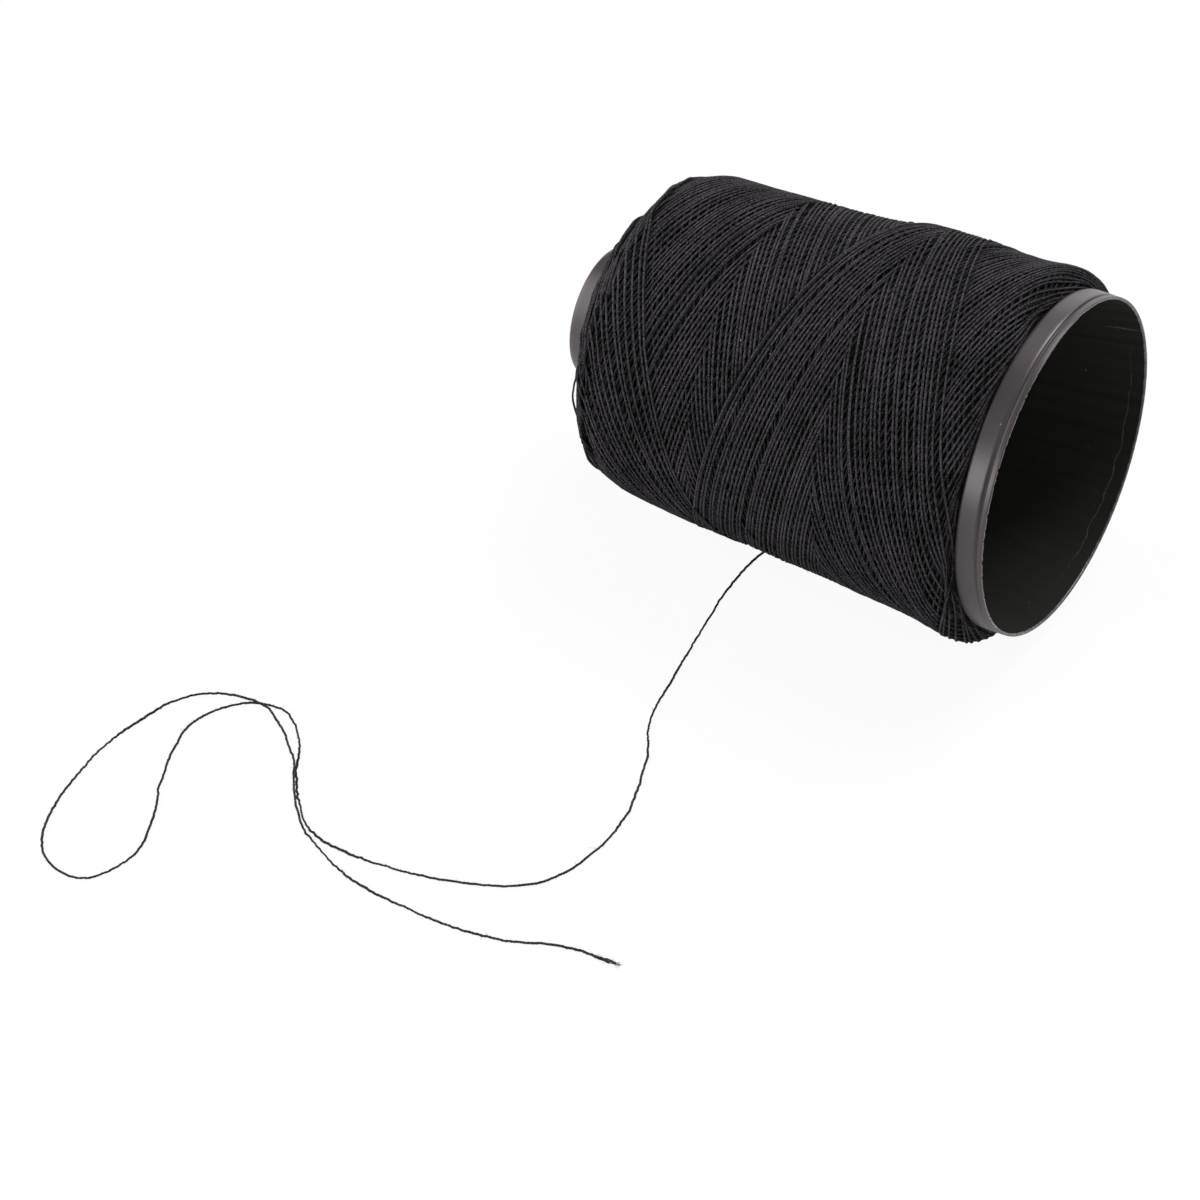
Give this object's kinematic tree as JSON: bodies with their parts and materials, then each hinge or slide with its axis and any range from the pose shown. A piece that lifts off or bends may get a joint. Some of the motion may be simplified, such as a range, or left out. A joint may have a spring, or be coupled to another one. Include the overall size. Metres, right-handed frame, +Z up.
{
  "type": "reel of sewing thread",
  "caption": "Black sewing thread cross-wound on a hollow moulded plastic cone, lying on its side with a short loose end on the surface.",
  "frame": {"origin": "middle of the reel's footprint, at the height of the surface that it lies on, measured without the loose end", "axes": "+X along the reel towards the wide open mouth of its cone, +Z up, -Y the side that the loose end runs out to; the cone's own axis rises 3.5 degrees towards +X"},
  "size_m": [0.1214, 0.1741, 0.0652],
  "materials": {
    "core_plastic": "satin black moulded plastic",
    "thread": "plied cotton thread, black, slightly fuzzy"
  },
  "bodies": {
    "root": {"core": "core_plastic", "winding": "thread", "loose_end": "thread"}
  },
  "joints": []
}
